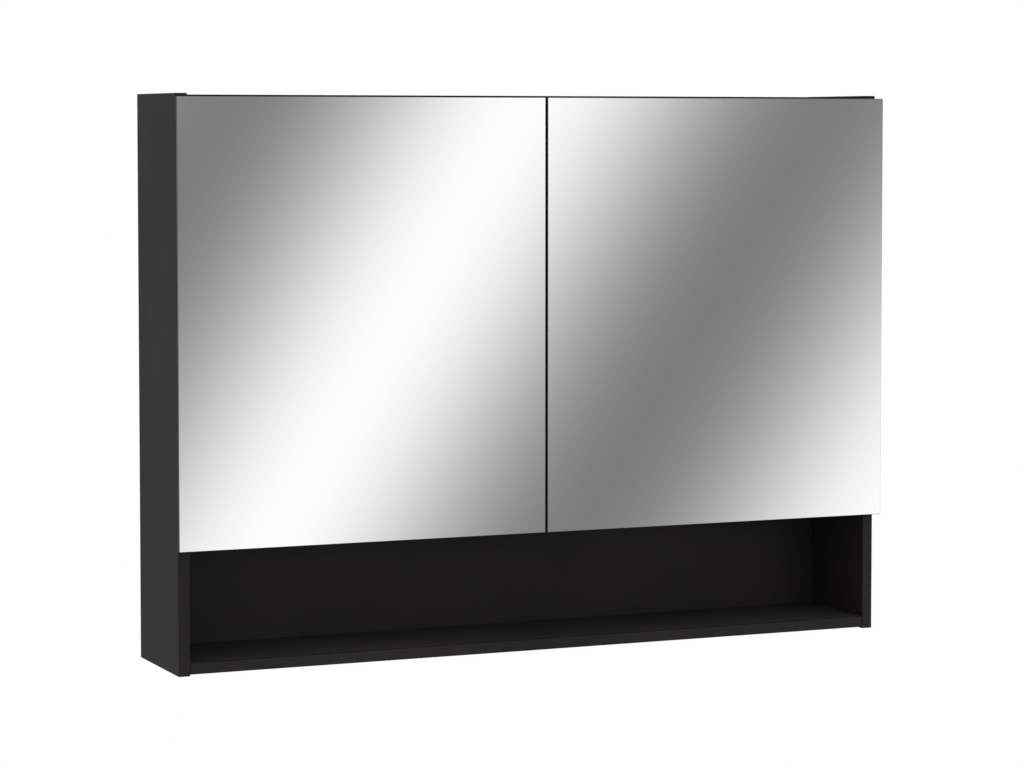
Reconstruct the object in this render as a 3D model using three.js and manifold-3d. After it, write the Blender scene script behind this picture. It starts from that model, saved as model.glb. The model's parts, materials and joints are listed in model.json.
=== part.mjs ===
// Wall-hung bathroom cabinet with two mirrored doors over an open niche.
// Millimetres, +Z up, doors facing -Y, the wall at y = 0. The origin is the middle of the
// top panel's rear edge, where the cabinet rests against the wall.
import * as THREE from 'three';
import { mergeVertices } from 'three/addons/utils/BufferGeometryUtils.js';
import Module from 'manifold-3d';

const wasm = await Module();
wasm.setup();

// ---- Driving dimensions ----
const WIDTH = 1000;            // over the side panels
const HEIGHT = 735;            // of the side panels
const DEPTH = 165;             // of the carcass, without the doors
const BOARD = 15;              // thickness of every carcass board and shelf
const END_REVEAL = 2;          // side panels run past the top and bottom panels by this much
const NICHE_SHELF_Z = 162;     // underside of the shelf between niche and cabinet
const BACK_THICKNESS = 5;
const BACK_INSET = 15;         // from the wall to the back panel
const GROOVE_DEPTH = 6;
const GROOVE_PLAY = 0.25;

const DOOR_BOTTOM_Z = 160;
const DOOR_TOP_Z = 731;
const DOOR_OVERHANG = 3.5;     // past the side panel
const DOOR_MEETING_GAP = 3;
const DOOR_GAP = 1.5;          // between the carcass front and a shut door
const DOOR_BOARD = 12;
const MIRROR_THICKNESS = 3;

const SHELVES_PER_BAY = 2;
const SHELF_DEPTH = 125;
const SHELF_SETBACK = 18;      // from the carcass front
const SHELF_END_PLAY = 1.5;
const PIN_RADIUS = 2.5;
const PIN_HOLE_RADIUS = 2.75;
const PIN_HOLE_DEPTH = 7;
const PIN_ROWS = [30, 122];    // behind the carcass front
const PIN_HOLE_STEP = 32;
const PIN_COLLAR_RADIUS = 4;

const HINGE_INSET = 100;       // from a door's top or bottom edge to its hinge
const CUP_CENTRE = 17.5;       // from the side panel's outer plane
const CUP_RADIUS = 17.5;
const CUP_DEPTH = 10.5;
const CUP_WALL = 0.75;
const CUP_SIDES = 28;
const LINK_PIN = [24, -0.5];   // the link's pin in the arm, from the side panel's outer front edge
const CUP_PIN = [7, -5.5];      // the second link's pin in the cup
const LINK_CLEARANCE = 3;       // from each link's free end to the other link's pin
const LINK_HALF_WIDTH = 1.25;   // seen from above
const LINK_HALF_HEIGHT = 1.75;
const LINK_MIDDLE = 2;          // one link runs this far above the hinge's middle, the other below it

const HANGER_BOX_TOP = 700;
const SMALL_SIDES = 14;

// ---- Derived ----
const FRONT = -DEPTH;
const INNER = WIDTH / 2 - BOARD;
const TOP_PANEL_Z = HEIGHT - END_REVEAL - BOARD;
const BOTTOM_PANEL_TOP = END_REVEAL + BOARD;
const CABINET_FLOOR = NICHE_SHELF_Z + BOARD;
const BACK_FRONT = -BACK_INSET - BACK_THICKNESS;
const DATUM_Z = TOP_PANEL_Z + BOARD / 2;
const DOOR_WIDTH = WIDTH / 2 + DOOR_OVERHANG - DOOR_MEETING_GAP / 2;
const DOOR_HEIGHT = DOOR_TOP_Z - DOOR_BOTTOM_Z;
const BAY_INNER = BOARD / 2;
const HINGE_HEIGHTS = { lower: DOOR_BOTTOM_Z + HINGE_INSET, upper: DOOR_TOP_Z - HINGE_INSET };
const SHELF_SPACING = (TOP_PANEL_Z - CABINET_FLOOR) / (SHELVES_PER_BAY + 1);

// ---- Materials ----
const finishes = {
  blackBoard: { color: 0x1b1a18, roughness: 0.55, metalness: 0 },
  mirror: { color: 0xe6e8ea, roughness: 0.03, metalness: 1 },
  steel: { color: 0xb9bbbd, roughness: 0.3, metalness: 1 },
  clearRubber: { color: 0xd9dad6, roughness: 0.4, metalness: 0 },
  whitePlastic: { color: 0xe4e3de, roughness: 0.45, metalness: 0 },
};

// ---- Geometry helpers ----
function box([x0, x1], [y0, y1], [z0, z1]) {
  const geometry = new THREE.BoxGeometry(x1 - x0, y1 - y0, z1 - z0);
  return geometry.translate((x0 + x1) / 2, (y0 + y1) / 2, (z0 + z1) / 2);
}

function rod(axis, radius, from, to, a, b, sides = SMALL_SIDES) {
  // A round bar along X, Y or Z from one value to the other; a and b place it on the other two axes.
  const geometry = new THREE.CylinderGeometry(radius, radius, to - from, sides);
  const middle = (from + to) / 2;
  if (axis === 'x') return geometry.rotateZ(-Math.PI / 2).translate(middle, a, b);
  if (axis === 'y') return geometry.translate(a, middle, b);
  return geometry.rotateX(Math.PI / 2).translate(a, b, middle);
}

function toSolid(geometry) {
  const bare = geometry.clone();
  bare.deleteAttribute('normal');
  bare.deleteAttribute('uv');
  const merged = mergeVertices(bare, 1e-4);
  const vertProperties = new Float32Array(merged.attributes.position.array);
  const triVerts = new Uint32Array(merged.index.array);
  return new wasm.Manifold(new wasm.Mesh({ numProp: 3, vertProperties, triVerts }));
}

function toGeometry(solid) {
  const mesh = solid.getMesh();
  const geometry = new THREE.BufferGeometry();
  geometry.setAttribute('position', new THREE.BufferAttribute(new Float32Array(mesh.vertProperties), 3));
  geometry.setIndex(new THREE.BufferAttribute(new Uint32Array(mesh.triVerts), 1));
  geometry.computeVertexNormals();
  return geometry;
}

function join(geometries) {
  return toGeometry(geometries.map(toSolid).reduce((sum, solid) => sum.add(solid)));
}

function cut(body, tools) {
  return toGeometry(tools.map(toSolid).reduce((rest, tool) => rest.subtract(tool), toSolid(body)));
}

function mirrored(geometry) {
  // The same piece for the right-hand side: x turns to -x and every triangle is wound the other way.
  const other = geometry.clone().scale(-1, 1, 1);
  const index = other.index.array;
  for (let i = 0; i < index.length; i += 3) {
    const first = index[i];
    index[i] = index[i + 1];
    index[i + 1] = first;
  }
  other.computeVertexNormals();
  return other;
}

const cabinet = new THREE.Group();
cabinet.position.set(0, 0, -DATUM_Z);

function addPiece(name, geometry, finish, parent = cabinet) {
  const mesh = new THREE.Mesh(geometry, new THREE.MeshStandardMaterial(finishes[finish]));
  mesh.name = name;
  parent.add(mesh);
  return mesh;
}

function addPair(stem, leftGeometry, finish) {
  addPiece(`${stem}_left`, leftGeometry, finish);
  addPiece(`${stem}_right`, mirrored(leftGeometry), finish);
}

// ---- Shelf positions ----
function shelfUnderside(level) {
  return CABINET_FLOOR + SHELF_SPACING * (level + 1) - BOARD / 2;
}

function pinHeights() {
  const heights = [];
  for (let level = 0; level < SHELVES_PER_BAY; level += 1) {
    heights.push(shelfUnderside(level) - PIN_RADIUS);
  }
  return heights;
}

function pinHoles(faceX, direction) {
  // Rows of shelf pin holes sunk into the face at x = faceX; direction points into the board.
  const holes = [];
  const bottom = faceX + direction * PIN_HOLE_DEPTH;
  const mouth = faceX - direction;
  for (const height of pinHeights()) {
    for (const step of [-1, 0, 1]) {
      for (const row of PIN_ROWS) {
        const z = height + step * PIN_HOLE_STEP;
        holes.push(rod('x', PIN_HOLE_RADIUS, Math.min(bottom, mouth), Math.max(bottom, mouth), FRONT + row, z, 12));
      }
    }
  }
  return holes;
}

// ---- Carcass ----
function backGroove([x0, x1], [z0, z1]) {
  return box([x0, x1], [BACK_FRONT - GROOVE_PLAY, -BACK_INSET + GROOVE_PLAY], [z0, z1]);
}

function sidePanel() {
  const board = box([-WIDTH / 2, -INNER], [FRONT, 0], [0, HEIGHT]);
  const groove = backGroove([-INNER - GROOVE_DEPTH, -INNER + 1], [END_REVEAL, HEIGHT - END_REVEAL]);
  return cut(board, [groove, ...pinHoles(-INNER, -1)]);
}

function endPanel(z0, grooveZ) {
  const board = box([-INNER, INNER], [FRONT, 0], [z0, z0 + BOARD]);
  return cut(board, [backGroove([-INNER - 1, INNER + 1], grooveZ)]);
}

function backPanel() {
  const reach = GROOVE_DEPTH - 0.5;
  const sheet = box(
    [-INNER - reach, INNER + reach],
    [BACK_FRONT, -BACK_INSET],
    [BOTTOM_PANEL_TOP - reach, TOP_PANEL_Z + reach],
  );
  const slots = [-1, 1].map((side) => {
    const edges = [side * (INNER - 5), side * (INNER - 17)].sort((a, b) => a - b);
    return box(edges, [BACK_FRONT - 1, -BACK_INSET + 1], [HANGER_BOX_TOP - 46, HANGER_BOX_TOP - 4]);
  });
  return cut(sheet, slots);
}

function centreDivider() {
  const board = box([-BAY_INNER, BAY_INNER], [FRONT, BACK_FRONT - GROOVE_PLAY], [CABINET_FLOOR, TOP_PANEL_Z]);
  return cut(board, [...pinHoles(-BAY_INNER, 1), ...pinHoles(BAY_INNER, -1)]);
}

function addCarcass() {
  addPair('side_panel', sidePanel(), 'blackBoard');
  addPiece('top_panel', endPanel(TOP_PANEL_Z, [TOP_PANEL_Z - 1, TOP_PANEL_Z + GROOVE_DEPTH]), 'blackBoard');
  const bottomGroove = [BOTTOM_PANEL_TOP - GROOVE_DEPTH, BOTTOM_PANEL_TOP + 1];
  addPiece('bottom_panel', endPanel(END_REVEAL, bottomGroove), 'blackBoard');
  addPiece('back_panel', backPanel(), 'blackBoard');
  const nicheShelf = box([-INNER, INNER], [FRONT, BACK_FRONT - GROOVE_PLAY], [NICHE_SHELF_Z, CABINET_FLOOR]);
  addPiece('niche_shelf', nicheShelf, 'blackBoard');
  addPiece('centre_divider', centreDivider(), 'blackBoard');
}

// ---- Adjustable shelves and their pins ----
function shelf(underside) {
  return box(
    [-INNER + SHELF_END_PLAY, -BAY_INNER - SHELF_END_PLAY],
    [FRONT + SHELF_SETBACK, FRONT + SHELF_SETBACK + SHELF_DEPTH],
    [underside, underside + BOARD],
  );
}

function shelfPin(faceX, direction, row, height) {
  // A steel pin in the board behind faceX, with a collar against the face; direction leaves the face.
  const span = (from, to) => [faceX + direction * from, faceX + direction * to].sort((a, b) => a - b);
  const y = FRONT + row;
  const [pinStart, pinEnd] = span(-6, 8);
  const [collarStart, collarEnd] = span(0, 1.25);
  return join([
    rod('x', PIN_RADIUS, pinStart, pinEnd, y, height, SMALL_SIDES),
    rod('x', PIN_COLLAR_RADIUS, collarStart, collarEnd, y, height, SMALL_SIDES),
  ]);
}

function addShelves() {
  const levels = ['lower', 'upper'];
  levels.forEach((levelName, level) => {
    const underside = shelfUnderside(level);
    addPair(`shelf_${levelName}`, shelf(underside), 'blackBoard');
    const height = underside - PIN_RADIUS;
    for (const [rowName, row] of [['front', PIN_ROWS[0]], ['rear', PIN_ROWS[1]]]) {
      addPair(`shelf_pin_${levelName}_${rowName}_outer`, shelfPin(-INNER, 1, row, height), 'steel');
      addPair(`shelf_pin_${levelName}_${rowName}_inner`, shelfPin(-BAY_INNER, -1, row, height), 'steel');
    }
  });
}

// ---- Doors ----
const DOOR_OUTER_X = -WIDTH / 2 - DOOR_OVERHANG;
const DOOR_BACK_Y = FRONT - DOOR_GAP;
const DOOR_BOARD_Y = DOOR_BACK_Y - DOOR_BOARD;

function doorBoard() {
  const board = box(
    [DOOR_OUTER_X, DOOR_OUTER_X + DOOR_WIDTH],
    [DOOR_BOARD_Y, DOOR_BACK_Y],
    [DOOR_BOTTOM_Z, DOOR_TOP_Z],
  );
  const cupHoles = Object.values(HINGE_HEIGHTS).map((z) =>
    rod('y', CUP_RADIUS + 0.25, DOOR_BACK_Y - CUP_DEPTH - 0.25, DOOR_BACK_Y + 1, CUP_CENTRE - WIDTH / 2, z, CUP_SIDES));
  return cut(board, cupHoles);
}

function mirrorPlate() {
  return box(
    [DOOR_OUTER_X, DOOR_OUTER_X + DOOR_WIDTH],
    [DOOR_BOARD_Y - MIRROR_THICKNESS, DOOR_BOARD_Y],
    [DOOR_BOTTOM_Z, DOOR_TOP_Z],
  );
}

function bumper(z) {
  // A soft dot on the door's rear face, near its free edge, that meets a panel's front edge.
  const profile = [[0, 0], [4, 0], [4, 0.75], [3, 1.25], [0, 1.25]].map(([r, y]) => new THREE.Vector2(r, y));
  return new THREE.LatheGeometry(profile, SMALL_SIDES).translate(-24, DOOR_BACK_Y, z);
}

function addDoors() {
  addPair('door_board', doorBoard(), 'blackBoard');
  addPair('mirror', mirrorPlate(), 'mirror');
  addPair('door_bumper_upper', toGeometry(toSolid(bumper(DATUM_Z - 3))), 'clearRubber');
  addPair('door_bumper_lower', toGeometry(toSolid(bumper(NICHE_SHELF_Z + BOARD / 2))), 'clearRubber');
}

// ---- Concealed cup hinges, drawn for the left side with the side panel's outer front edge at 0, 0 ----
function hingeCup() {
  const inner = CUP_RADIUS - CUP_WALL;
  const lip = -DOOR_GAP;
  const floor = lip - CUP_DEPTH;
  const profile = [[0, floor], [CUP_RADIUS, floor], [CUP_RADIUS, lip], [inner, lip],
    [inner, floor + CUP_WALL], [0, floor + CUP_WALL]];
  const points = profile.map(([r, y]) => new THREE.Vector2(r, y));
  const shell = new THREE.LatheGeometry(points, CUP_SIDES).translate(CUP_CENTRE, 0, 0);
  const earX = CUP_CENTRE + 9.5;
  const ears = [-1, 1].map((side) => rod('y', 6, lip, lip + 0.75, earX, side * 22.5));
  const bridge = box([earX - 6, earX + 6], [lip, lip + 0.75], [-22.5, 22.5]);
  const flange = join([bridge, ...ears]);
  const cheeks = [-5.75, 4.25].map((z) =>
    box([CUP_PIN[0] - 2.75, CUP_PIN[0] + 2.75], [floor + 0.4, CUP_PIN[1] + 2.3], [z, z + 1.5]));
  const pinHole = rod('z', 1.5, -7, 7, CUP_PIN[0], CUP_PIN[1], 12);
  const mouth = rod('y', inner, lip - 1, lip + 2, CUP_CENTRE, 0, CUP_SIDES);
  const screwHoles = [-1, 1].map((side) => rod('y', 2, lip - 1, lip + 2, earX, side * 22.5, 12));
  return join([shell, cut(flange, [mouth, ...screwHoles]), ...cheeks.map((piece) => cut(piece, [pinHole]))]);
}

function hingePlate() {
  const wings = join([
    box([BOARD, BOARD + 2.5], [31, 43], [-18, 18]),
    rod('x', 6, BOARD, BOARD + 2.5, 37, -18),
    rod('x', 6, BOARD, BOARD + 2.5, 37, 18),
    box([BOARD, BOARD + 2.5], [22, 60], [-7, 7]),
    box([BOARD + 2, BOARD + 9], [24, 58], [-3.75, 3.75]),
  ]);
  return cut(wings, [-1, 1].map((side) => rod('x', 2.25, BOARD - 1, BOARD + 4, 37, side * 17, 12)));
}

function hingeArm() {
  const outer = box([BOARD + 3, BOARD + 12], [-3.5, 62], [-5.75, 5.75]);
  const channel = box([BOARD + 2, BOARD + 10.5], [-4, 63], [-4.25, 4.25]);
  const openNose = box([BOARD + 2, BOARD + 13], [-4, 6], [-4.25, 4.25]);
  const pinHole = rod('z', 1.5, -7, 7, LINK_PIN[0], LINK_PIN[1], 12);
  const slot = box([BOARD + 10, BOARD + 13], [34, 46], [-1.75, 1.75]);
  return cut(outer, [channel, openNose, pinHole, slot]);
}

function strap(from, to, half, height) {
  // A flat bar between two points seen from above, with round ends.
  const [dx, dy] = [to[0] - from[0], to[1] - from[1]];
  const bar = box([0, Math.hypot(dx, dy)], [-half, half], [-height, height]);
  bar.rotateZ(Math.atan2(dy, dx)).translate(from[0], from[1], 0);
  const ends = [from, to].map(([x, y]) => rod('z', half, -height, height, x, y));
  return join([bar, ...ends]);
}

function hingeLink(pin, otherPin, side, pinReach) {
  // It fills its own half of the hinge's height, and its free end stops short of the other pin.
  const [dx, dy] = [otherPin[0] - pin[0], otherPin[1] - pin[1]];
  const part = 1 - LINK_CLEARANCE / Math.hypot(dx, dy);
  const end = [pin[0] + dx * part, pin[1] + dy * part];
  const middle = side * LINK_MIDDLE;
  return join([
    strap(pin, end, LINK_HALF_WIDTH, LINK_HALF_HEIGHT).translate(0, 0, middle),
    rod('z', 2, middle - LINK_HALF_HEIGHT, middle + LINK_HALF_HEIGHT, pin[0], pin[1]),
    rod('z', 1.25, -pinReach, pinReach, pin[0], pin[1]),
  ]);
}

function addHinges() {
  for (const [levelName, z] of Object.entries(HINGE_HEIGHTS)) {
    const place = (geometry) => geometry.translate(-WIDTH / 2, FRONT, z);
    addPair(`hinge_cup_${levelName}`, place(hingeCup()), 'steel');
    addPair(`hinge_plate_${levelName}`, place(hingePlate()), 'steel');
    addPair(`hinge_arm_${levelName}`, place(hingeArm()), 'steel');
    addPair(`hinge_link_${levelName}`, place(hingeLink(LINK_PIN, CUP_PIN, 1, 6.5)), 'steel');
    addPair(`hinge_cup_link_${levelName}`, place(hingeLink(CUP_PIN, LINK_PIN, -1, 6.25)), 'steel');
  }
}

// ---- Hangers inside the top corners, with hooks that reach through the back panel ----
function hangerBox() {
  const body = box([-INNER, -INNER + 20], [BACK_FRONT - 34, BACK_FRONT - 0.5], [HANGER_BOX_TOP - 58, HANGER_BOX_TOP]);
  const slot = box(
    [-INNER + 6, -INNER + 16],
    [BACK_FRONT - 35, BACK_FRONT + 1],
    [HANGER_BOX_TOP - 42, HANGER_BOX_TOP - 8],
  );
  return cut(body, [slot]);
}

function hangerHook() {
  const arm = box([-INNER + 7, -INNER + 15], [BACK_FRONT - 30, -3], [HANGER_BOX_TOP - 24, HANGER_BOX_TOP - 10]);
  const lip = box([-INNER + 7, -INNER + 15], [-7, -3], [HANGER_BOX_TOP - 42, HANGER_BOX_TOP - 10]);
  return join([arm, lip]);
}

addCarcass();
addShelves();
addDoors();
addHinges();
addPair('hanger_box', hangerBox(), 'whitePlastic');
addPair('hanger_hook', hangerHook(), 'steel');

export default cabinet;
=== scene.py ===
"""Looks for a wall-hung mirror cabinet, laid out as an add-on and run as a script.

Metres, +Z up, the doors face -Y and the wall is at y = 0. Sizes come from the loaded frame.
"""

import json
import math

import bmesh
import bpy
from bpy.props import FloatProperty, FloatVectorProperty, PointerProperty
from mathutils import Matrix, Vector


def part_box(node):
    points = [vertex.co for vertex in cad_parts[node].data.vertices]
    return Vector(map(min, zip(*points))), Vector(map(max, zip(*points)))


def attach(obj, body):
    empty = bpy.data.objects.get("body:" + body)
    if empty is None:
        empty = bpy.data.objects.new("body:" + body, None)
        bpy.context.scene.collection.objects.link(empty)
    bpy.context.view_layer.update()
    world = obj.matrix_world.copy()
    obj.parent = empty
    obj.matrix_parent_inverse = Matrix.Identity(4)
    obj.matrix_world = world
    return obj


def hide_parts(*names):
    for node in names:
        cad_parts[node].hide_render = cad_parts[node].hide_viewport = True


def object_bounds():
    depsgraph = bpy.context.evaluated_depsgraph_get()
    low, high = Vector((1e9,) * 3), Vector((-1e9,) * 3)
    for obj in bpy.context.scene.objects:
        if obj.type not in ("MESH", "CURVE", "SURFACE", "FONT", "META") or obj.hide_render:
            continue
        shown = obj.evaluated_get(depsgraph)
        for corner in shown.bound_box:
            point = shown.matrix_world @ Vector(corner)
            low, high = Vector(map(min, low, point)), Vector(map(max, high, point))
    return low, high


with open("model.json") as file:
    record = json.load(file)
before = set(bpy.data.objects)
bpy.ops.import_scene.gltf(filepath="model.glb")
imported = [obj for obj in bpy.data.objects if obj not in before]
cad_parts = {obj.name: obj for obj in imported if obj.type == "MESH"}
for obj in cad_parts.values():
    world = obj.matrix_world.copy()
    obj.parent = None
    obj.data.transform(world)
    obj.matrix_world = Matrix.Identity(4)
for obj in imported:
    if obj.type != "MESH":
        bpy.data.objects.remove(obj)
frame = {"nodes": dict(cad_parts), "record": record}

bl_info = {
    "name": "Mirror cabinet looks",
    "version": (1, 0, 0),
    "blender": (4, 5, 0),
    "location": "View3D > Sidebar > Cabinet",
    "description": "Finishes the boards, mirrors and hardware of a wall-hung mirror cabinet",
    "category": "Object",
}

CAD_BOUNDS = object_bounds()
MM = 0.001
GRAIN_DEPTH = 0.05 * MM  # of the bump of every fine grain
DISPLAY_GAMMA = 2.2      # turns an even step of tone into light
SIDES = ("left", "right")
LEVELS = ("lower", "upper")
BOARD_NODES = (
    "side_panel_left", "side_panel_right", "top_panel", "niche_shelf", "centre_divider",
    "shelf_lower_left", "shelf_lower_right", "shelf_upper_left", "shelf_upper_right",
)
STEEL_PREFIXES = ("hinge_cup", "hinge_plate", "hinge_arm", "hinge_link", "shelf_pin", "hanger_hook")
BODY_OF = {node: body for body, nodes in frame["record"]["behaviour"]["bodies"].items() for node in nodes}

# Where screws and fittings sit on the pieces that they hold.
CUP_EAR_INSET = 27 * MM        # from the cup's outer side to the middle of its ears
CUP_SCREW_REACH = 22.5 * MM    # above and below the hinge's middle
PLATE_THICKNESS = 2.5 * MM
PLATE_SCREW_DEPTH = 15 * MM    # from the plate's front end
PLATE_SCREW_REACH = 17 * MM    # above and below the hinge's middle
ARM_SCREW_DEPTHS = (21 * MM, 43.5 * MM)
HANGER_SCREW_DROPS = (4.2 * MM, 50 * MM)
CAM_DEPTHS = (37 * MM, 114 * MM)


# ---------------------------------------------------------------- settings
class BoardSettings(bpy.types.PropertyGroup):
    """Sizes and colours of the melamine-faced boards."""

    edge_radius: FloatProperty(
        name="Edge radius", description="Rounding of the edge-banded board edges",
        default=0.7 * MM, unit="LENGTH",
    )
    colour: FloatVectorProperty(
        name="Board colour", description="Base colour of the melamine face", subtype="COLOR", size=3,
        default=(0.0190, 0.0176, 0.0160), min=0, max=1,
    )
    # Painted shade: the rounded board edges are coloured near-black. This is the fine joint line of the
    # edge band, darkened further to stand in for shade lines along the edges.
    edge_joint_and_shade_colour: FloatVectorProperty(
        name="Edge colour", description="Fine joint line where the edge band meets the face",
        subtype="COLOR", size=3,
        default=(0.004, 0.0038, 0.0035), min=0, max=1,
    )
    # Painted light: the niche floor's top is coloured paler than the other boards, standing in for the
    # light that falls on it.
    niche_floor_painted_light_colour: FloatVectorProperty(
        name="Used colour", description="Niche floor, rubbed paler by what stands on it",
        subtype="COLOR", size=3,
        default=(0.052, 0.050, 0.047), min=0, max=1,
    )
    roughness: FloatProperty(name="Roughness", description="Of the melamine faces", default=0.52)
    grain_length: FloatProperty(
        name="Grain length", description="Length of the pressed-in grain marks",
        default=38 * MM, unit="LENGTH",
    )


class MirrorSettings(bpy.types.PropertyGroup):
    """Sizes and colours of the mirror plates."""

    arris: FloatProperty(
        name="Arris", description="Width of the polished edge bevel", default=0.6 * MM, unit="LENGTH",
    )
    silver: FloatVectorProperty(
        name="Silvering", description="Colour of the silvered face", subtype="COLOR", size=3,
        default=(0.955, 0.958, 0.955), min=0, max=1,
    )
    edge_glass: FloatVectorProperty(
        name="Glass edge", description="Colour seen in the cut edge of the glass",
        subtype="COLOR", size=3,
        default=(0.045, 0.075, 0.065), min=0, max=1,
    )


class HardwareSettings(bpy.types.PropertyGroup):
    """Sizes and colours of the hinges, pins, hangers and screws."""

    edge_radius: FloatProperty(
        name="Edge radius", description="Rounding of the pressed steel parts",
        default=0.25 * MM, unit="LENGTH",
    )
    nickel: FloatVectorProperty(
        name="Nickel", description="Colour of the nickel plating", subtype="COLOR", size=3,
        default=(0.72, 0.705, 0.67), min=0, max=1,
    )
    screw_head: FloatProperty(
        name="Screw head", description="Radius of a countersunk screw head",
        default=3.6 * MM, unit="LENGTH",
    )
    screw_rise: FloatProperty(
        name="Screw rise", description="Height of a screw head over its seat",
        default=0.9 * MM, unit="LENGTH",
    )
    cam_radius: FloatProperty(
        name="Cam radius", description="Of the cam fittings in the level boards",
        default=7.5 * MM, unit="LENGTH",
    )
    cam_rise: FloatProperty(
        name="Cam rise", description="Height of a cam's face over the board",
        default=0.35 * MM, unit="LENGTH",
    )
    cam_inset: FloatProperty(
        name="Cam inset", description="From the side panel to the middle of a cam",
        default=24 * MM, unit="LENGTH",
    )


class StageSettings(bpy.types.PropertyGroup):
    """Camera, lights and floor."""

    camera_place: FloatVectorProperty(
        name="Camera place", description="Where the camera stands", size=3, unit="LENGTH",
        default=(-1.6873, -3.9688, -0.0337),
    )
    camera_yaw: FloatProperty(
        name="Camera yaw", description="Turn of the camera towards +X", subtype="ANGLE",
        default=math.radians(23.385),
    )
    camera_pitch: FloatProperty(
        name="Camera pitch", description="Tilt of the camera below the horizon", subtype="ANGLE",
        default=math.radians(3.337),
    )
    focal_length: FloatProperty(
        name="Focal length", description="Of a camera 36 mm wide", default=111.45, unit="CAMERA",
    )
    shift: FloatProperty(name="Vertical shift", description="Shift of the picture", default=-0.07)
    floor_drop: FloatProperty(
        name="Floor drop", description="From the cabinet's underside to the floor",
        default=1.1, unit="LENGTH",
    )
    panel_distance: FloatProperty(
        name="Panel distance", description="From the camera's mirror image to the graded panel",
        default=11.0,
        unit="LENGTH",
    )
    panel_wave: FloatProperty(
        name="Panel wave", description="Width of one bright and dark band",
        default=2.106, unit="LENGTH",
    )
    panel_start: FloatProperty(
        name="Panel start", description="Middle of the first bright band", default=0.017, unit="LENGTH",
    )
    panel_slope: FloatProperty(name="Panel slope", description="Lean of the bands", default=0.577)
    panel_low: FloatProperty(name="Panel low", description="Tone of the dark bands", default=0.494)
    panel_high: FloatProperty(name="Panel high", description="Tone of the bright bands", default=1.012)
    reflected_pale: FloatProperty(
        name="Reflected pale", description="Brightness of the room in reflections", default=0.55,
    )
    floor_wave: FloatProperty(
        name="Floor wave", description="Width of one bright and dark band of the reflected floor",
        default=2.8,
        unit="LENGTH",
    )
    wall_wave: FloatProperty(
        name="Wall wave", description="Height of one bright and dark band of the reflected wall",
        default=5.5,
        unit="LENGTH",
    )
    fill: FloatProperty(name="Fill", description="Light from all round", default=0.85)
    side_power: FloatProperty(name="Side power", description="Watts of the side light", default=8)
    front_power: FloatProperty(name="Front power", description="Watts of the front light", default=30)


# ---------------------------------------------------------------- node helpers
def link(tree, source, target):
    tree.links.new(source, target)


def node(tree, kind, inputs=None, **settings):
    """A shader or geometry node with its settings and the values or links of its inputs."""
    made = tree.nodes.new(kind)
    for key, value in settings.items():
        setattr(made, key, value)
    for key, value in (inputs or {}).items():
        if isinstance(value, bpy.types.NodeSocket):
            link(tree, value, made.inputs[key])
        else:
            made.inputs[key].default_value = value
    return made


def math_node(tree, operation, first, second=0.0, clamp=False):
    made = node(tree, "ShaderNodeMath", {0: first, 1: second}, operation=operation, use_clamp=clamp)
    return made.outputs[0]


def map_range(tree, value, source, target):
    """A value turned from the range source to the range target, and held inside it."""
    made = node(tree, "ShaderNodeMapRange", {
        "Value": value, "From Min": source[0], "From Max": source[1],
        "To Min": target[0], "To Max": target[1],
    })
    return made.outputs["Result"]


def new_group(name, inputs, outputs):
    """A shader node group with (name, socket type, default) inputs and (name, socket type) outputs."""
    group = bpy.data.node_groups.new(name, "ShaderNodeTree")
    for label, kind, default in inputs:
        socket = group.interface.new_socket(label, in_out="INPUT", socket_type=kind)
        socket.default_value = default
    for label, kind in outputs:
        group.interface.new_socket(label, in_out="OUTPUT", socket_type=kind)
    return group, group.nodes.new("NodeGroupInput"), group.nodes.new("NodeGroupOutput")


def placed(tree, group, inputs):
    """A shader node group in a material, with its own values."""
    return node(tree, "ShaderNodeGroup", inputs, node_tree=group)


def new_material(name):
    """An empty material with a Principled shader and Object coordinates."""
    material = bpy.data.materials.new(name)
    material.use_nodes = True
    tree = material.node_tree
    shader = tree.nodes["Principled BSDF"]
    coords = node(tree, "ShaderNodeTexCoord")
    return material, tree, shader, coords.outputs["Object"]


# ---------------------------------------------------------------- shared effects
def make_pressed_grain():
    """Fine elongated marks, as pressed into melamine, and a slow cloud of tone."""
    group, given, out = new_group(
        "pressed grain",
        [("Vector", "NodeSocketVector", (0, 0, 0)), ("Length", "NodeSocketVector", (1, 1, 1)),
         ("Cloud", "NodeSocketFloat", 3.0)],
        [("Marks", "NodeSocketFloat"), ("Tone", "NodeSocketFloat")],
    )
    place = given.outputs["Vector"]
    factors = {0: place, 1: given.outputs["Length"]}
    stretched = node(group, "ShaderNodeVectorMath", factors, operation="MULTIPLY")
    marks = node(group, "ShaderNodeTexNoise", {
        "Vector": stretched.outputs[0], "Scale": 1.0, "Detail": 5.0, "Roughness": 0.62,
    })
    sharp = map_range(group, marks.outputs["Fac"], (0.38, 0.66), (0, 1))
    cloud = node(group, "ShaderNodeTexNoise", {
        "Vector": place, "Scale": given.outputs["Cloud"], "Detail": 3.0,
    })
    link(group, sharp, out.inputs["Marks"])
    link(group, cloud.outputs["Fac"], out.inputs["Tone"])
    return group


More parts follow.
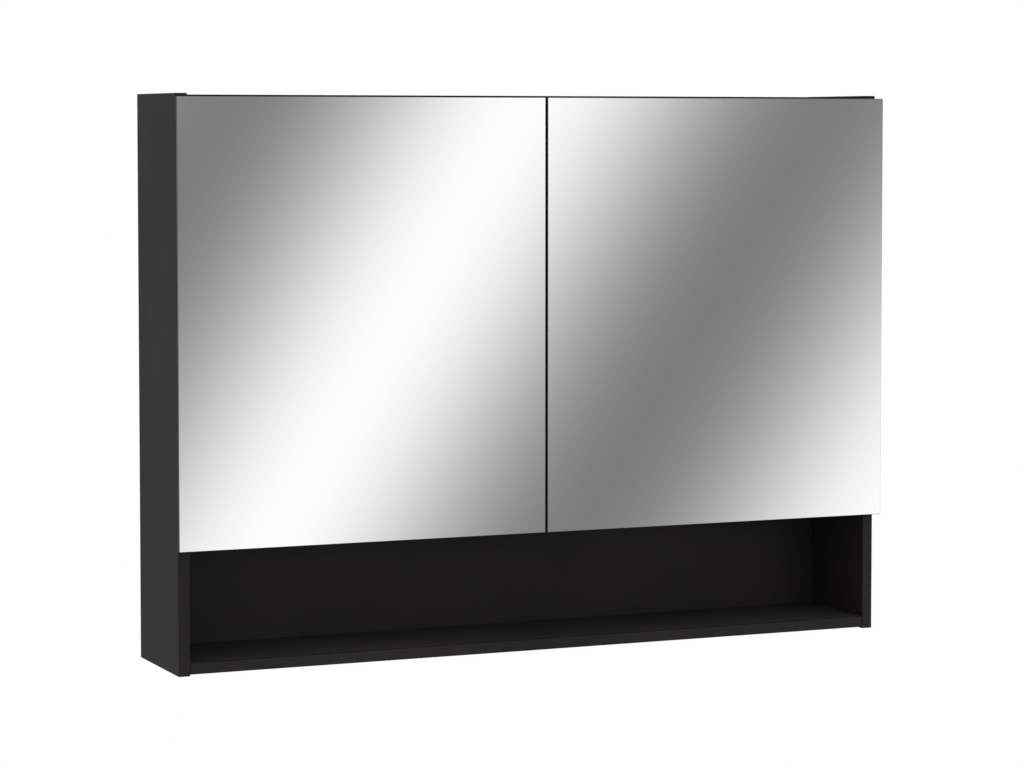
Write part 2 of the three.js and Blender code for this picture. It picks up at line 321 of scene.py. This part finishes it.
def make_handling_haze():
    """Slow patches of haze, with a few finer wipe marks, for glossy faces."""
    group, given, out = new_group(
        "handling haze",
        [("Vector", "NodeSocketVector", (0, 0, 0)), ("Patch", "NodeSocketFloat", 4.0)],
        [("Haze", "NodeSocketFloat")],
    )
    place = given.outputs["Vector"]
    patch = node(group, "ShaderNodeTexNoise", {
        "Vector": place, "Scale": given.outputs["Patch"], "Detail": 4.0, "Distortion": 0.6,
    })
    wiped = node(group, "ShaderNodeVectorMath", {0: place, 1: (70.0, 70.0, 9.0)}, operation="MULTIPLY")
    streak = node(group, "ShaderNodeTexNoise", {"Vector": wiped.outputs[0], "Scale": 1.0, "Detail": 3.0})
    mixed = math_node(group, "MULTIPLY", patch.outputs["Fac"], streak.outputs["Fac"])
    link(group, map_range(group, mixed, (0.16, 0.42), (0, 1)), out.inputs["Haze"])
    return group


def shared_group(name, maker):
    return bpy.data.node_groups.get(name) or maker()


# ---------------------------------------------------------------- materials
def board_material(name, colour, grain_axis, roughness, settings):
    """Melamine of one colour with grain marks along grain_axis (0, 1 or 2)."""
    material, tree, shader, place = new_material(name)
    across = 1 / (0.9 * MM)
    lengths = [across, across, across]
    lengths[grain_axis] = 1 / settings.grain_length
    group = shared_group("pressed grain", make_pressed_grain)
    grain = placed(tree, group, {"Vector": place, "Length": lengths, "Cloud": 4.5})
    marks = grain.outputs["Marks"]
    cloud_tone = map_range(tree, grain.outputs["Tone"], (0.3, 0.7), (0.82, 1.18))
    mark_tone = map_range(tree, marks, (0, 1), (0.91, 1.06))
    shade = math_node(tree, "MULTIPLY", cloud_tone, mark_tone)
    coloured = node(tree, "ShaderNodeVectorMath", {0: colour, "Scale": shade}, operation="SCALE")
    link(tree, coloured.outputs[0], shader.inputs["Base Color"])
    rough = map_range(tree, marks, (0, 1), (roughness + 0.03, roughness - 0.03))
    link(tree, rough, shader.inputs["Roughness"])
    bump = node(tree, "ShaderNodeBump", {"Height": marks, "Strength": 0.09, "Distance": GRAIN_DEPTH})
    link(tree, bump.outputs[0], shader.inputs["Normal"])
    shader.inputs["Specular IOR Level"].default_value = 0.12
    return material


def silver_material(settings):
    """The silvered face of a mirror, with the faintest haze of cleaning."""
    material, tree, shader, place = new_material("silvered_glass")
    group = shared_group("handling haze", make_handling_haze)
    haze = placed(tree, group, {"Vector": place, "Patch": 3.5})
    tint = node(tree, "ShaderNodeMix", data_type="RGBA")
    tint.inputs[6].default_value = (*settings.silver, 1)
    tint.inputs[7].default_value = (*(0.992 * Vector(settings.silver)), 1)
    link(tree, haze.outputs["Haze"], tint.inputs["Factor"])
    link(tree, tint.outputs[2], shader.inputs["Base Color"])
    shader.inputs["Metallic"].default_value = 1.0
    link(tree, map_range(tree, haze.outputs["Haze"], (0, 1), (0.010, 0.024)), shader.inputs["Roughness"])
    return material


def cut_edge_material(settings):
    """Ground and polished glass edge, green-grey, with fine grinding lines along the plate."""
    material, tree, shader, place = new_material("cut_glass_edge")
    lines = node(tree, "ShaderNodeVectorMath", {0: place, 1: (60.0, 2500.0, 60.0)}, operation="MULTIPLY")
    ground = node(tree, "ShaderNodeTexNoise", {"Vector": lines.outputs[0], "Scale": 1.0, "Detail": 3.0})
    tone = map_range(tree, ground.outputs["Fac"], (0, 1), (0.8, 1.2))
    colour = tuple(settings.edge_glass)
    shade = node(tree, "ShaderNodeVectorMath", {0: colour, "Scale": tone}, operation="SCALE")
    link(tree, shade.outputs[0], shader.inputs["Base Color"])
    link(tree, map_range(tree, ground.outputs["Fac"], (0, 1), (0.10, 0.24)), shader.inputs["Roughness"])
    shader.inputs["IOR"].default_value = 1.52
    return material


def nickel_material(settings):
    """Nickel-plated pressed steel with fine draw marks and dull patches."""
    material, tree, shader, place = new_material("nickel_plate")
    group = shared_group("handling haze", make_handling_haze)
    haze = placed(tree, group, {"Vector": place, "Patch": 60.0})
    colour = node(tree, "ShaderNodeMix", data_type="RGBA")
    link(tree, haze.outputs["Haze"], colour.inputs["Factor"])
    colour.inputs[6].default_value = (*settings.nickel, 1)
    colour.inputs[7].default_value = (*(0.8 * Vector(settings.nickel)), 1)
    link(tree, colour.outputs[2], shader.inputs["Base Color"])
    shader.inputs["Metallic"].default_value = 0.85
    link(tree, map_range(tree, haze.outputs["Haze"], (0, 1), (0.28, 0.44)), shader.inputs["Roughness"])
    fine = node(tree, "ShaderNodeTexNoise", {"Vector": place, "Scale": 900.0, "Detail": 3.0})
    bump = node(tree, "ShaderNodeBump", {
        "Height": fine.outputs["Fac"], "Strength": 0.08, "Distance": GRAIN_DEPTH,
    })
    link(tree, bump.outputs[0], shader.inputs["Normal"])
    return material


def moulded_material(name, colour, roughness, transmission=0.0, metallic=0.0):
    """A moulded or cast part with a fine eroded skin."""
    material, tree, shader, place = new_material(name)
    grain = node(tree, "ShaderNodeTexNoise", {"Vector": place, "Scale": 700.0, "Detail": 4.0})
    cloud = node(tree, "ShaderNodeTexNoise", {"Vector": place, "Scale": 35.0, "Detail": 2.0})
    tone = map_range(tree, cloud.outputs["Fac"], (0, 1), (0.93, 1.04))
    shade = node(tree, "ShaderNodeVectorMath", {0: colour, "Scale": tone}, operation="SCALE")
    link(tree, shade.outputs[0], shader.inputs["Base Color"])
    rough = map_range(tree, grain.outputs["Fac"], (0, 1), (roughness - 0.06, roughness + 0.08))
    link(tree, rough, shader.inputs["Roughness"])
    bump = node(tree, "ShaderNodeBump", {
        "Height": grain.outputs["Fac"], "Strength": 0.15, "Distance": GRAIN_DEPTH,
    })
    link(tree, bump.outputs[0], shader.inputs["Normal"])
    shader.inputs["Transmission Weight"].default_value = transmission
    shader.inputs["Metallic"].default_value = metallic
    return material


# ---------------------------------------------------------------- mesh helpers
def copy_of_node(name, piece_name):
    """A merged copy of a CAD node's mesh, with flat areas as single faces, at the origin."""
    source = frame["nodes"][name]
    mesh = bmesh.new()
    mesh.from_mesh(source.data)
    bmesh.ops.remove_doubles(mesh, verts=mesh.verts, dist=1e-6)
    bmesh.ops.dissolve_limit(mesh, angle_limit=math.radians(1.5), verts=mesh.verts, edges=mesh.edges)
    data = bpy.data.meshes.new(piece_name)
    mesh.to_mesh(data)
    mesh.free()
    piece = bpy.data.objects.new(piece_name, data)
    bpy.context.scene.collection.objects.link(piece)
    return piece


def round_edges(piece, radius, segments=3, sharp=40.0):
    """Rounds the sharp edges and shades the rest smooth; a single segment makes a flat chamfer."""
    for polygon in piece.data.polygons:
        polygon.use_smooth = segments > 1
    bevel = piece.modifiers.new("rounded edges", "BEVEL")
    bevel.width = radius
    bevel.segments = segments
    bevel.limit_method = "ANGLE"
    bevel.angle_limit = math.radians(sharp)
    bevel.use_clamp_overlap = True
    if segments == 1:
        return
    flat = piece.modifiers.new("flat faces", "WEIGHTED_NORMAL")
    flat.weight = 100
    flat.keep_sharp = True


def stand_in(name, materials, radius, segments=3, sharp=40.0):
    """A finished piece in place of the node of that name; the last material goes on its edges."""
    piece = copy_of_node(name, f"{name}_finished")
    round_edges(piece, radius, segments, sharp)
    for material in materials:
        piece.data.materials.append(material)
    piece.modifiers["rounded edges"].material = len(materials) - 1
    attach(piece, BODY_OF[name])
    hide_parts(name)
    return piece


# ---------------------------------------------------------------- screws by geometry nodes
def screw_mesh(radius, rise, sides=24):
    """One low round head, its axis along +Z, with a cross recess."""
    mesh = bmesh.new()
    shape = ((1.0, 0.0), (0.97, 0.35), (0.8, 0.75), (0.5, 1.0))
    profile = [(radius * out, rise * up) for out, up in shape]
    rings = []
    for ring_radius, height in profile:
        ring = []
        for i in range(sides):
            turn = 2 * math.pi * i / sides
            point = (ring_radius * math.cos(turn), ring_radius * math.sin(turn), height)
            ring.append(mesh.verts.new(point))
        rings.append(ring)
    for lower, upper in zip(rings, rings[1:]):
        for i in range(sides):
            j = (i + 1) % sides
            mesh.faces.new((lower[i], lower[j], upper[j], upper[i]))
    arm, waist, depth = radius * 0.42, radius * 0.11, rise * 1.6
    cross = []
    for quarter in range(4):
        turn = Matrix.Rotation(quarter * math.pi / 2, 3, "Z")
        for x, y in ((arm, -waist), (arm, waist), (waist, waist)):
            cross.append(turn @ Vector((x, y, 0)))
    top = [mesh.verts.new((p.x, p.y, rise)) for p in cross]
    bottom = [mesh.verts.new((p.x * 0.72, p.y * 0.72, rise - depth)) for p in cross]
    for i in range(len(top)):
        j = (i + 1) % len(top)
        mesh.faces.new((top[i], bottom[i], bottom[j], top[j]))
    mesh.faces.new(list(bottom))
    land = [mesh.edges.get((rings[-1][i], rings[-1][(i + 1) % sides])) for i in range(sides)]
    land += [mesh.edges.get((top[i], top[(i + 1) % len(top)])) for i in range(len(top))]
    bmesh.ops.triangle_fill(mesh, edges=land, use_beauty=True)
    under = [mesh.verts.new((v.co.x, v.co.y, -depth)) for v in rings[0]]
    for i in range(sides):
        j = (i + 1) % sides
        mesh.faces.new((under[i], under[j], rings[0][j], rings[0][i]))
    mesh.faces.new(list(reversed(under)))
    bmesh.ops.recalc_face_normals(mesh, faces=mesh.faces)
    data = bpy.data.meshes.new("screw_head")
    mesh.to_mesh(data)
    mesh.free()
    return data


def screw_tree(head, material):
    """Puts a screw head on every point, turned from +Z to the point's own direction."""
    tree = bpy.data.node_groups.new("screws on points", "GeometryNodeTree")
    tree.interface.new_socket("Geometry", in_out="INPUT", socket_type="NodeSocketGeometry")
    size = tree.interface.new_socket("Head scale", in_out="INPUT", socket_type="NodeSocketFloat")
    size.default_value = 1.0
    tree.interface.new_socket("Geometry", in_out="OUTPUT", socket_type="NodeSocketGeometry")
    given = tree.nodes.new("NodeGroupInput")
    out = tree.nodes.new("NodeGroupOutput")
    axis = node(tree, "GeometryNodeInputNamedAttribute", {"Name": "screw_axis"}, data_type="FLOAT_VECTOR")
    turned = node(tree, "FunctionNodeAlignRotationToVector", {"Vector": axis.outputs[0]}, axis="Z")
    head_info = node(tree, "GeometryNodeObjectInfo", {"Object": head}, transform_space="ORIGINAL")
    points = node(tree, "GeometryNodeMeshToPoints", {"Mesh": given.outputs["Geometry"]})
    heads = node(tree, "GeometryNodeInstanceOnPoints", {
        "Points": points.outputs[0], "Instance": head_info.outputs["Geometry"],
        "Rotation": turned.outputs[0], "Scale": given.outputs["Head scale"],
    })
    real = node(tree, "GeometryNodeRealizeInstances", {0: heads.outputs[0]})
    finished = node(tree, "GeometryNodeSetMaterial", {0: real.outputs[0], "Material": material})
    link(tree, finished.outputs[0], out.inputs[0])
    return tree, size.identifier


def screws(name, places, body, head, material, scale=1.0):
    """Screw heads at (point, direction) places, as one plain mesh that rides on body."""
    data = bpy.data.meshes.new(f"{name}_points")
    data.from_pydata([tuple(point) for point, _ in places], [], [])
    axes = data.attributes.new("screw_axis", "FLOAT_VECTOR", "POINT")
    axes.data.foreach_set("vector", [value for _, axis in places for value in axis])
    carrier = bpy.data.objects.new(f"{name}_carrier", data)
    bpy.context.scene.collection.objects.link(carrier)
    tree, scale_input = screw_tree(head, material)
    modifier = carrier.modifiers.new("screws", "NODES")
    modifier.node_group = tree
    modifier[scale_input] = scale
    evaluated = carrier.evaluated_get(bpy.context.evaluated_depsgraph_get())
    finished = bpy.data.meshes.new_from_object(evaluated)
    piece = bpy.data.objects.new(name, finished)
    bpy.context.scene.collection.objects.link(piece)
    carrier.modifiers.remove(modifier)
    bpy.data.objects.remove(carrier)
    if not finished.materials:
        finished.materials.append(material)
    for polygon in finished.polygons:
        polygon.use_smooth = False
    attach(piece, body)
    return piece


# ---------------------------------------------------------------- operators
class CABINET_OT_boards(bpy.types.Operator):
    """Finishes the carcass boards, shelves and door boards"""

    bl_idname = "cabinet.boards"
    bl_label = "Boards"

    def execute(self, context):
        settings = context.scene.cabinet_boards
        face, edge = tuple(settings.colour), tuple(settings.edge_joint_and_shade_colour)
        upright = board_material("black_melamine_upright", face, 2, settings.roughness, settings)
        level = board_material("black_melamine_level", face, 0, settings.roughness, settings)
        # Painted shade: a near-black material on every rounded board edge. It gives the edge-band joint
        # and also painted shade lines along the edges.
        joint_and_shade_material = board_material("edge_band_joint_and_shade", edge, 2, settings.roughness, settings)
        for name in BOARD_NODES:
            standing = name.startswith(("side_panel", "centre_divider"))
            stand_in(name, (upright if standing else level, joint_and_shade_material), settings.edge_radius)
        # Painted light: the bottom panel's top face gets a paler colour in place of the light falling on
        # the niche floor.
        floor_painted_light_colour = tuple(settings.niche_floor_painted_light_colour)
        floor_painted_light_material = board_material("niche_floor_painted_light", floor_painted_light_colour, 0, settings.roughness, settings)
        floor = stand_in("bottom_panel", (level, floor_painted_light_material, joint_and_shade_material), settings.edge_radius)
        for polygon in floor.data.polygons:
            polygon.material_index = 1 if polygon.normal.z > 0.9 else 0
        for side in SIDES:
            stand_in(f"door_board_{side}", (upright, joint_and_shade_material), settings.edge_radius)
        stand_in("back_panel", (level,), 0.3 * MM, segments=1)
        return {"FINISHED"}


class CABINET_OT_mirrors(bpy.types.Operator):
    """Finishes the two mirror plates"""

    bl_idname = "cabinet.mirrors"
    bl_label = "Mirrors"

    def execute(self, context):
        settings = context.scene.cabinet_mirrors
        materials = (silver_material(settings), cut_edge_material(settings))
        for side in SIDES:
            piece = stand_in(f"mirror_{side}", materials, settings.arris, segments=1)
            for polygon in piece.data.polygons:
                polygon.material_index = 0 if abs(polygon.normal.y) > 0.9 else 1
        return {"FINISHED"}


class CABINET_OT_hardware(bpy.types.Operator):
    """Finishes the hinges, shelf pins, hooks, hangers and bumpers"""

    bl_idname = "cabinet.hardware"
    bl_label = "Hardware"

    def execute(self, context):
        settings = context.scene.cabinet_hardware
        nickel = nickel_material(settings)
        for name in sorted(frame["nodes"]):
            if name.startswith(STEEL_PREFIXES):
                stand_in(name, (nickel,), settings.edge_radius, segments=2, sharp=50)
        white = moulded_material("white_moulding", (0.74, 0.73, 0.70), 0.45)
        clear = moulded_material("clear_dot", (0.80, 0.81, 0.79), 0.3, transmission=0.6)
        for side in SIDES:
            stand_in(f"hanger_box_{side}", (white,), 0.8 * MM)
            for height in LEVELS:
                dot = f"door_bumper_{height}_{side}"
                stand_in(dot, (clear,), 0.15 * MM, segments=2, sharp=30)
        return {"FINISHED"}


class CABINET_OT_screws(bpy.types.Operator):
    """Adds the screws of the hinges and hangers"""

    bl_idname = "cabinet.screws"
    bl_label = "Screws"

    def execute(self, context):
        settings = context.scene.cabinet_hardware
        material = bpy.data.materials["nickel_plate"]
        head = bpy.data.objects.new("screw_head", screw_mesh(settings.screw_head, settings.screw_rise))
        context.scene.collection.objects.link(head)
        for side, inward in (("left", 1), ("right", -1)):
            cup, plate, arm, hanger = [], [], [], []
            for height in LEVELS:
                low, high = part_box(f"hinge_cup_{height}_{side}")
                ear_x = low.x + CUP_EAR_INSET if side == "left" else high.x - CUP_EAR_INSET
                for offset in (-CUP_SCREW_REACH, CUP_SCREW_REACH):
                    cup.append(((ear_x, high.y, (low.z + high.z) / 2 + offset), (0, 1, 0)))
                low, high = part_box(f"hinge_plate_{height}_{side}")
                face = (low.x if side == "left" else high.x) + inward * PLATE_THICKNESS
                for offset in (-PLATE_SCREW_REACH, PLATE_SCREW_REACH):
                    point = (face, low.y + PLATE_SCREW_DEPTH, (low.z + high.z) / 2 + offset)
                    plate.append((point, (inward, 0, 0)))
                low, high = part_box(f"hinge_arm_{height}_{side}")
                face = high.x if side == "left" else low.x
                for along in ARM_SCREW_DEPTHS:
                    arm.append(((face, low.y + along, (low.z + high.z) / 2), (inward, 0, 0)))
            low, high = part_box(f"hanger_box_{side}")
            for down in HANGER_SCREW_DROPS:
                hanger.append((((low.x + high.x) / 2, low.y, high.z - down), (0, -1, 0)))
            screws(f"cup_screws_{side}", cup, f"door_{side}", head, material, 0.75)
            screws(f"plate_screws_{side}", plate, "carcass", head, material)
            screws(f"arm_screws_{side}", arm, "carcass", head, material, 0.85)
            screws(f"hanger_screws_{side}", hanger, "carcass", head, material, 0.9)
        bpy.data.objects.remove(head)
        return {"FINISHED"}


class CABINET_OT_fittings(bpy.types.Operator):
    """Adds the cam fittings that draw the level boards against the side panels"""

    bl_idname = "cabinet.fittings"
    bl_label = "Fittings"

    def execute(self, context):
        settings = context.scene.cabinet_hardware
        material = moulded_material("zinc_cam", (0.42, 0.41, 0.39), 0.42, metallic=0.8)
        cam = bpy.data.objects.new("cam", screw_mesh(settings.cam_radius, settings.cam_rise, sides=40))
        context.scene.collection.objects.link(cam)
        top, bottom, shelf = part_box("top_panel"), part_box("bottom_panel"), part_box("niche_shelf")
        places = []
        for x in (top[0].x + settings.cam_inset, top[1].x - settings.cam_inset):
            for y in [top[0].y + depth for depth in CAM_DEPTHS]:
                places.append(((x, y, top[1].z), (0, 0, 1)))
                places.append(((x, y, bottom[0].z), (0, 0, -1)))
                places.append(((x, y, shelf[1].z), (0, 0, 1)))
        screws("cam_fittings", places, "carcass", cam, material)
        bpy.data.objects.remove(cam)
        return {"FINISHED"}


class CABINET_OT_stage(bpy.types.Operator):
    """Makes the camera, the floor and the lights"""

    bl_idname = "cabinet.stage"
    bl_label = "Stage"

    def execute(self, context):
        settings = context.scene.cabinet_stage
        make_camera(context, settings)
        make_floor(settings)
        make_graded_panel(settings)
        make_round_wall(settings)
        make_lights(settings)
        make_world(context, settings)
        return {"FINISHED"}


def make_camera(context, settings):
    camera = bpy.data.objects.new("camera", bpy.data.cameras.new("camera"))
    context.scene.collection.objects.link(camera)
    camera.data.sensor_width = 36
    camera.data.lens = settings.focal_length
    camera.data.shift_y = settings.shift
    camera.location = settings.camera_place
    camera.rotation_euler = (math.radians(90) - settings.camera_pitch, 0, -settings.camera_yaw)
    context.scene.camera = camera


def seen_as(tree, straight, glossy, lit):
    """One shader for what the camera sees, one for what glossy faces reflect and one that gives light."""
    path = node(tree, "ShaderNodeLightPath")
    reflected = node(tree, "ShaderNodeMixShader", {0: path.outputs["Is Glossy Ray"], 1: lit, 2: glossy})
    seen = path.outputs["Is Camera Ray"]
    mixed = node(tree, "ShaderNodeMixShader", {0: seen, 1: reflected.outputs[0], 2: straight})
    return mixed.outputs[0]


def stage_sheet(name, rows, material):
    """A piece of the stage between two rows of points."""
    mesh = bmesh.new()
    lower, upper = [[mesh.verts.new(point) for point in row] for row in rows]
    for i in range(len(lower) - 1):
        mesh.faces.new((lower[i], lower[i + 1], upper[i + 1], upper[i]))
    data = bpy.data.meshes.new(name)
    mesh.to_mesh(data)
    mesh.free()
    sheet = bpy.data.objects.new(name, data)
    bpy.context.scene.collection.objects.link(sheet)
    data.materials.append(material)
    return sheet


def make_floor(settings):
    """A wide pale floor well below the cabinet."""
    material, tree, shader, place = new_material("pale_floor")
    shader.inputs["Base Color"].default_value = (0.8, 0.8, 0.79, 1)
    shader.inputs["Roughness"].default_value = 0.7
    white = node(tree, "ShaderNodeEmission", {"Color": (1, 1, 1, 1), "Strength": 1.0})
    lean = {"Vector": place, "Angle": 0.6}
    turned = node(tree, "ShaderNodeVectorRotate", lean, rotation_type="Z_AXIS")
    along = node(tree, "ShaderNodeSeparateXYZ", {0: turned.outputs[0]})
    turns = math_node(tree, "MULTIPLY", along.outputs["X"], 2 * math.pi / settings.floor_wave)
    distance = node(tree, "ShaderNodeVectorMath", {0: place}, operation="LENGTH")
    reach = {"Value": distance.outputs["Value"], "From Min": 9.0, "From Max": 4.0, "To Max": 0.45}
    near = node(tree, "ShaderNodeMapRange", reach, interpolation_type="SMOOTHSTEP")
    swing = math_node(tree, "MULTIPLY", math_node(tree, "COSINE", turns), near.outputs["Result"])
    tone = math_node(tree, "MULTIPLY", math_node(tree, "ADD", swing, 1.0), settings.reflected_pale)
    pale = node(tree, "ShaderNodeEmission", {"Color": (1, 1, 1, 1), "Strength": tone})
    surface = seen_as(tree, white.outputs[0], pale.outputs[0], shader.outputs[0])
    link(tree, surface, tree.nodes["Material Output"].inputs["Surface"])
    half = 30.0
    height = CAD_BOUNDS[0].z - settings.floor_drop
    stage_sheet("floor", [[(x, y, height) for x in (-half, half)] for y in (-half, half)], material)


def make_graded_panel(settings):
    """A wide panel, softly graded along a diagonal, that faces the mirrors' reflected view."""
    material, tree, _, place = new_material("graded_light")
    axes = node(tree, "ShaderNodeSeparateXYZ", {0: place})
    fallen = math_node(tree, "MULTIPLY", axes.outputs["Z"], settings.panel_slope)
    diagonal = math_node(tree, "SUBTRACT", axes.outputs["X"], fallen)
    from_start = math_node(tree, "SUBTRACT", diagonal, settings.panel_start)
    turns = math_node(tree, "DIVIDE", from_start, settings.panel_wave)
    wave = math_node(tree, "COSINE", math_node(tree, "MULTIPLY", turns, 2 * math.pi))
    tone = map_range(tree, wave, (-1.0, 1.0), (settings.panel_low, settings.panel_high))
    strength = math_node(tree, "POWER", tone, DISPLAY_GAMMA)
    glow = node(tree, "ShaderNodeEmission", {"Color": (1, 1, 1, 1), "Strength": strength})
    link(tree, glow.outputs[0], tree.nodes["Material Output"].inputs["Surface"])
    half_width, low, high = 7.0, -2.0, 7.0
    rows = [[(x, 0, z) for x in (-half_width, half_width)] for z in (low, high)]
    panel = stage_sheet("graded_panel", rows, material)
    camera = Vector(settings.camera_place)
    behind_mirror = Vector((camera.x, 2 * CAD_BOUNDS[0].y - camera.y, 0))
    yaw = settings.camera_yaw
    panel.location = behind_mirror + settings.panel_distance * Vector((math.sin(yaw), -math.cos(yaw), 0))
    panel.rotation_euler.z = yaw
    only_reflected(panel)


def only_reflected(sheet):
    sheet.visible_camera = False
    sheet.visible_diffuse = False
    sheet.visible_shadow = False


def make_round_wall(settings):
    """A wall all round the room, graded in slow leaning bands, that only reflections see."""
    material, tree, _, place = new_material("round_wall_light")
    axes = node(tree, "ShaderNodeSeparateXYZ", {0: place})
    azimuth = math_node(tree, "ARCTAN2", axes.outputs["Y"], axes.outputs["X"])
    risen = math_node(tree, "MULTIPLY", axes.outputs["Z"], 2 * math.pi / settings.wall_wave)
    turns = math_node(tree, "ADD", math_node(tree, "MULTIPLY", azimuth, 6.0), risen)
    swing = math_node(tree, "MULTIPLY", math_node(tree, "COSINE", turns), 0.4)
    tone = math_node(tree, "MULTIPLY", math_node(tree, "ADD", swing, 1.0), settings.reflected_pale)
    glow = node(tree, "ShaderNodeEmission", {"Color": (1, 1, 1, 1), "Strength": tone})
    link(tree, glow.outputs[0], tree.nodes["Material Output"].inputs["Surface"])
    radius, sides, foot, head = 15.0, 96, -2.5, 9.0
    around = [2 * math.pi * i / sides for i in range(sides + 1)]
    ring = [(radius * math.cos(turn), radius * math.sin(turn)) for turn in around]
    rows = [[(x, y, z) for x, y in ring] for z in (foot, head)]
    only_reflected(stage_sheet("round_wall", rows, material))


def soft_light(name, place, target, size, power):
    """A rectangular area light turned to its target, unseen in reflections."""
    lamp = bpy.data.lights.new(name, "AREA")
    lamp.shape = "RECTANGLE"
    lamp.size, lamp.size_y = size
    lamp.energy = power
    made = bpy.data.objects.new(name, lamp)
    made.location = place
    made.rotation_mode = "QUATERNION"
    made.rotation_quaternion = (Vector(target) - Vector(place)).to_track_quat("-Z", "Y")
    bpy.context.scene.collection.objects.link(made)
    made.visible_glossy = False
    return made


def make_lights(settings):
    middle = (CAD_BOUNDS[0] + CAD_BOUNDS[1]) / 2
    soft_light("side_light", (-3.6, 0.9, 0.2), middle, (2.4, 2.4), settings.side_power)
    soft_light("front_light", (1.6, -5.2, 0.2), middle, (2.4, 1.4), settings.front_power)


def make_world(context, settings):
    world = bpy.data.worlds.new("studio")
    world.use_nodes = True
    tree = world.node_tree
    lit = tree.nodes["Background"]
    lit.inputs["Strength"].default_value = settings.fill
    shades = [lit]
    for strength in (settings.reflected_pale, 1.0):
        shades.append(node(tree, "ShaderNodeBackground", {"Strength": strength}))
    for shade in shades:
        shade.inputs["Color"].default_value = (1, 1, 1, 1)
    lit, pale, white = [shade.outputs[0] for shade in shades]
    link(tree, seen_as(tree, white, pale, lit), tree.nodes["World Output"].inputs["Surface"])
    context.scene.world = world
    context.scene.view_settings.view_transform = "Standard"


class CABINET_PT_panel(bpy.types.Panel):
    """Lists the cabinet's pieces and the stage"""

    bl_label = "Mirror cabinet"
    bl_idname = "CABINET_PT_panel"
    bl_space_type = "VIEW_3D"
    bl_region_type = "UI"
    bl_category = "Cabinet"

    def draw(self, context):
        for operator in OPERATORS:
            self.layout.operator(operator.bl_idname)
        for settings in SETTINGS:
            group = getattr(context.scene, settings)
            for key in group.bl_rna.properties.keys():
                if key not in ("rna_type", "name"):
                    self.layout.prop(group, key)


OPERATORS = (
    CABINET_OT_stage, CABINET_OT_boards, CABINET_OT_mirrors, CABINET_OT_hardware, CABINET_OT_screws,
    CABINET_OT_fittings,
)
SETTINGS = {
    "cabinet_boards": BoardSettings, "cabinet_mirrors": MirrorSettings,
    "cabinet_hardware": HardwareSettings, "cabinet_stage": StageSettings,
}


def register():
    for cls in (*SETTINGS.values(), *OPERATORS, CABINET_PT_panel):
        bpy.utils.register_class(cls)
    for name, cls in SETTINGS.items():
        setattr(bpy.types.Scene, name, PointerProperty(type=cls))


def unregister():
    for name in SETTINGS:
        delattr(bpy.types.Scene, name)
    for cls in (CABINET_PT_panel, *reversed(OPERATORS), *reversed(list(SETTINGS.values()))):
        bpy.utils.unregister_class(cls)


def main():
    register()
    for operator in OPERATORS:
        group, name = operator.bl_idname.split(".")
        getattr(getattr(bpy.ops, group), name)()


if __name__ == "__main__":
    main()
